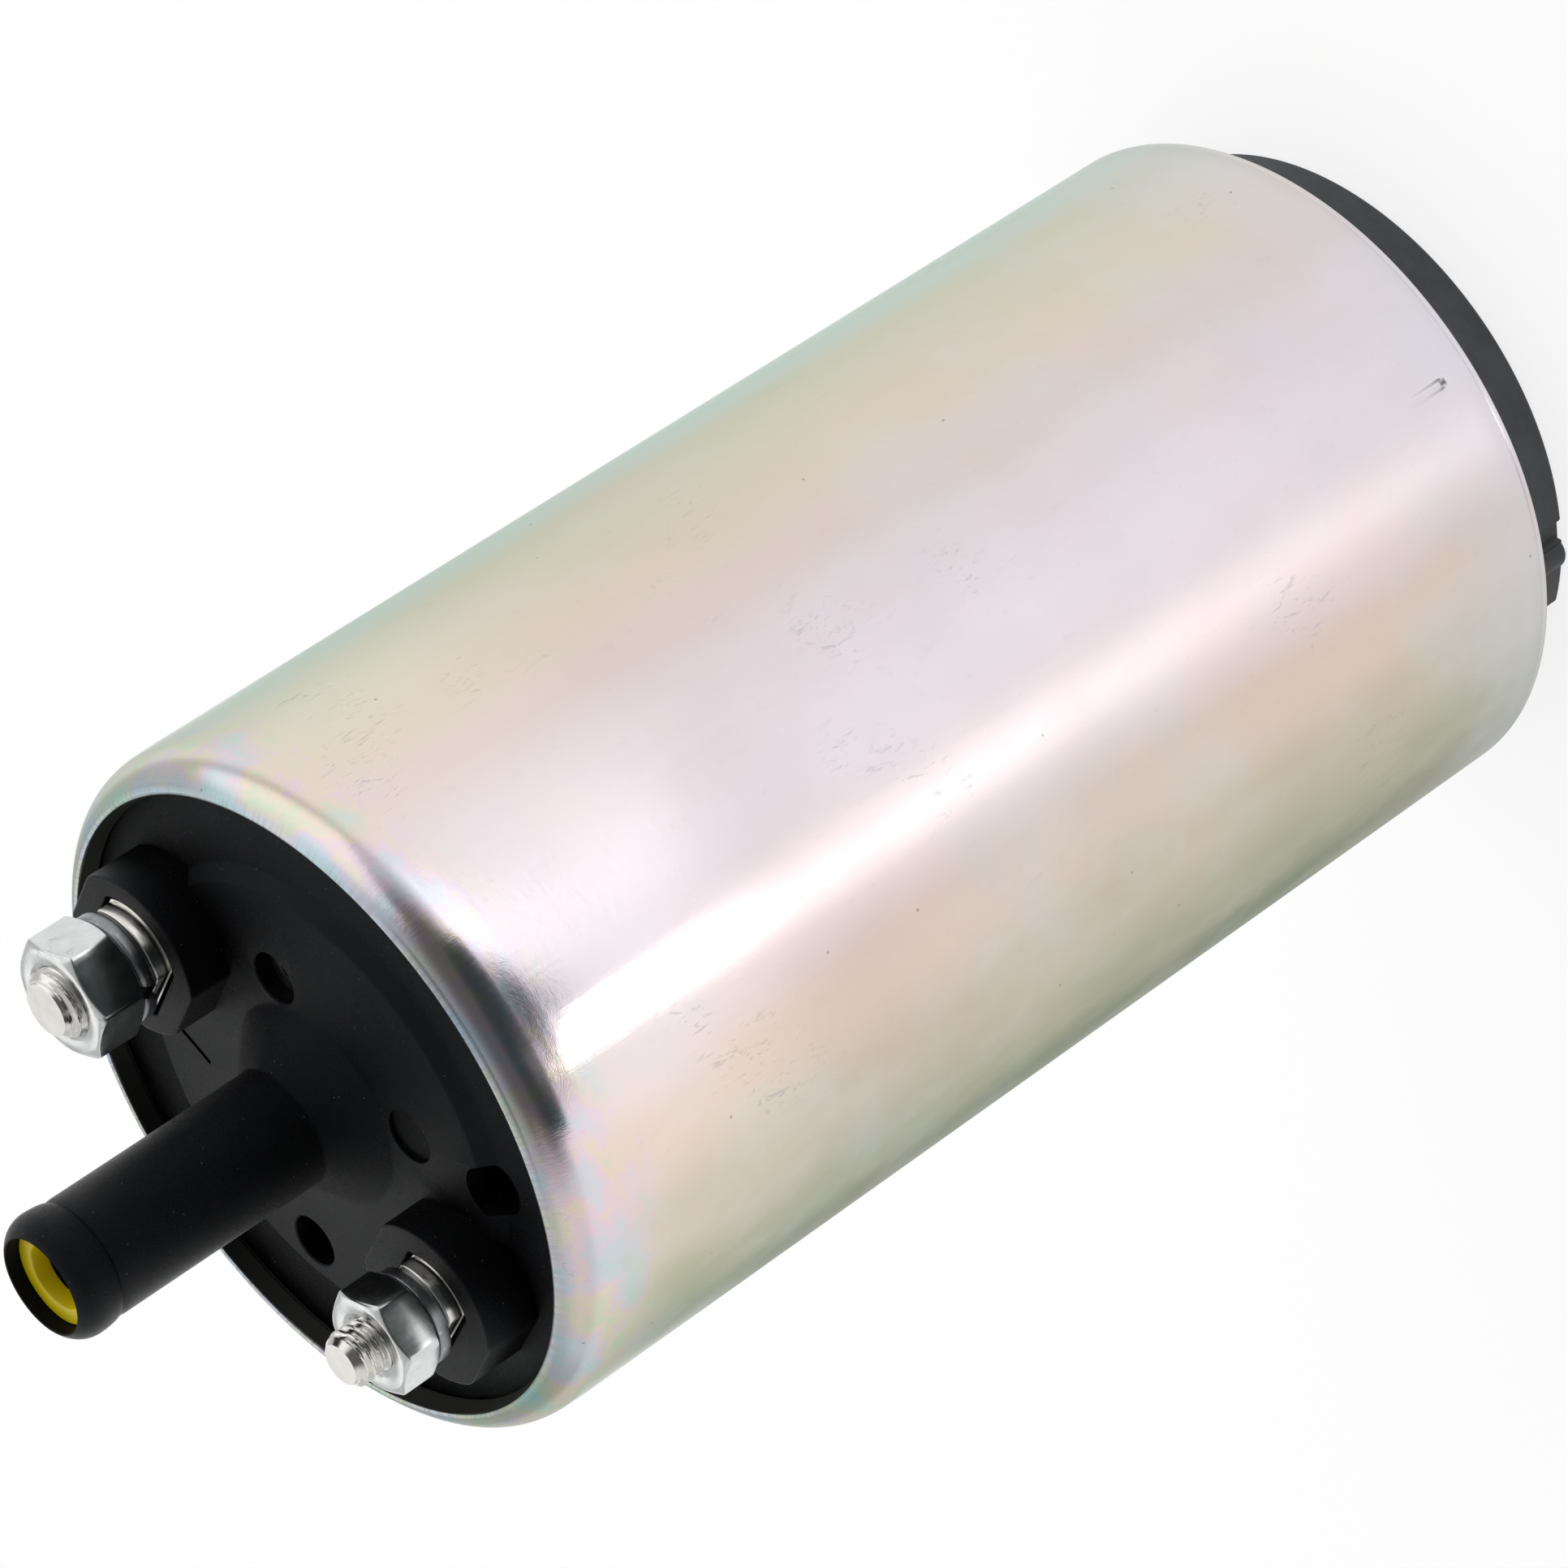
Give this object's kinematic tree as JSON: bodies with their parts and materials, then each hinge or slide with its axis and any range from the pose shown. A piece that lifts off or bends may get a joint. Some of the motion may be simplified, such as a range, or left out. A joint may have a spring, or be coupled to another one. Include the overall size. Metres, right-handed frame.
{
  "type": "electric fuel pump",
  "caption": "Cylindrical in-tank electric fuel pump with a rolled steel shell, a beaded outlet pipe, stud terminals of two sizes and a turbine stage behind a brushed motor.",
  "frame": {"origin": "on the pump axis, at the foot of the inlet cover, where the pump stands", "axes": "+Z along the pump axis towards the outlet pipe, +X from the axis towards the larger terminal stud"},
  "size_m": [0.051, 0.051, 0.1217],
  "materials": {
    "zinc_shell": "zinc plated with a faint iridescent passivation, satin",
    "black_plastic": "fine moulded grain, low sheen",
    "grey_plastic": "matte moulded",
    "stud_nickel": "bright nickel plate with turned threads",
    "nut_zinc": "dull zinc plate, brushed flats",
    "washer_zinc": "dull zinc plate",
    "yellow_plastic": "saturated yellow, smooth",
    "spring_steel": "drawn wire, bright",
    "valve_plastic": "natural acetal",
    "seal_rubber": "matte fuel-proof rubber",
    "ball_steel": "polished",
    "sintered_bronze": "sintered, oil-dark",
    "retainer_metal": "pressed ring, dull",
    "holder_plastic": "glass-filled, beige",
    "brush_carbon": "pressed carbon, matte",
    "copper": "bare copper, drawn",
    "enamelled_copper": "enamelled wire, glossy",
    "ferrite": "ground ferrite, matte",
    "clip_steel": "spring strip, satin",
    "shaft_steel": "ground",
    "lamination_steel": "stacked laminations, oiled",
    "insulator_plastic": "moulded, green",
    "commutator_resin": "phenolic, dark brown",
    "pump_aluminium": "die cast, fine blasted",
    "impeller_resin": "phenolic, dark, machined faces",
    "pad_steel": "hardened, lapped"
  },
  "bodies": {
    "pump": {"housing": "zinc_shell", "outlet_cover": "black_plastic", "terminal_stud_large": "stud_nickel", "terminal_stud_small": "stud_nickel", "terminal_washer_large": "washer_zinc", "terminal_washer_small": "washer_zinc", "terminal_nut_large": "nut_zinc", "terminal_nut_small": "nut_zinc", "check_valve_retainer": "yellow_plastic", "check_valve_spring": "spring_steel", "relief_valve_spring": "spring_steel", "relief_valve_retainer": "retainer_metal", "bearing_holder": "holder_plastic", "upper_bush": "sintered_bronze", "brush_spring_a": "spring_steel", "brush_spring_b": "spring_steel", "brush_lead_a": "copper", "brush_lead_b": "copper", "choke_core_a": "ferrite", "choke_core_b": "ferrite", "choke_coil_a": "enamelled_copper", "choke_coil_b": "enamelled_copper", "magnet_a": "ferrite", "magnet_b": "ferrite", "magnet_clip_a": "clip_steel", "magnet_clip_b": "clip_steel", "pump_casing": "pump_aluminium", "lower_bush": "sintered_bronze", "inlet_cover": "grey_plastic", "thrust_pad": "pad_steel"},
    "rotor": {"armature_shaft": "shaft_steel", "armature_core": "lamination_steel", "armature_insulator_upper": "insulator_plastic", "armature_insulator_lower": "insulator_plastic", "armature_windings": "enamelled_copper", "commutator_base": "commutator_resin", "commutator_bars": "copper", "impeller": "impeller_resin"},
    "check_valve": {"check_valve_poppet": "valve_plastic", "check_valve_seal": "seal_rubber"},
    "relief_valve": {"relief_valve_ball": "ball_steel"},
    "brush_a_body": {"brush_a": "brush_carbon"},
    "brush_b_body": {"brush_b": "brush_carbon"}
  },
  "joints": [
    {"name": "rotor_spin", "type": "hinge", "parent": "pump", "child": "rotor", "pos_m": [0, 0, 0.05], "axis": [0, 0, 1], "continuous": true},
    {"name": "check_valve_lift", "type": "slide", "parent": "pump", "child": "check_valve", "axis": [0, 0, 1], "range_m": [0, 0.002], "stiffness_N_per_m": 100, "springref_m": -0.004, "deforming": ["check_valve_spring"]},
    {"name": "relief_valve_lift", "type": "slide", "parent": "pump", "child": "relief_valve", "axis": [0, 0, 1], "range_m": [0, 0.0008], "stiffness_N_per_m": 500, "springref_m": -0.002, "deforming": ["relief_valve_spring"]},
    {"name": "brush_a_slide", "type": "slide", "parent": "pump", "child": "brush_a_body", "axis": [0, 0, 1], "range_m": [0, 0.002], "stiffness_N_per_m": 300, "springref_m": -0.004, "deforming": ["brush_spring_a", "brush_lead_a"]},
    {"name": "brush_b_slide", "type": "slide", "parent": "pump", "child": "brush_b_body", "axis": [0, 0, 1], "range_m": [0, 0.002], "stiffness_N_per_m": 300, "springref_m": -0.004, "deforming": ["brush_spring_b", "brush_lead_b"]}
  ]
}
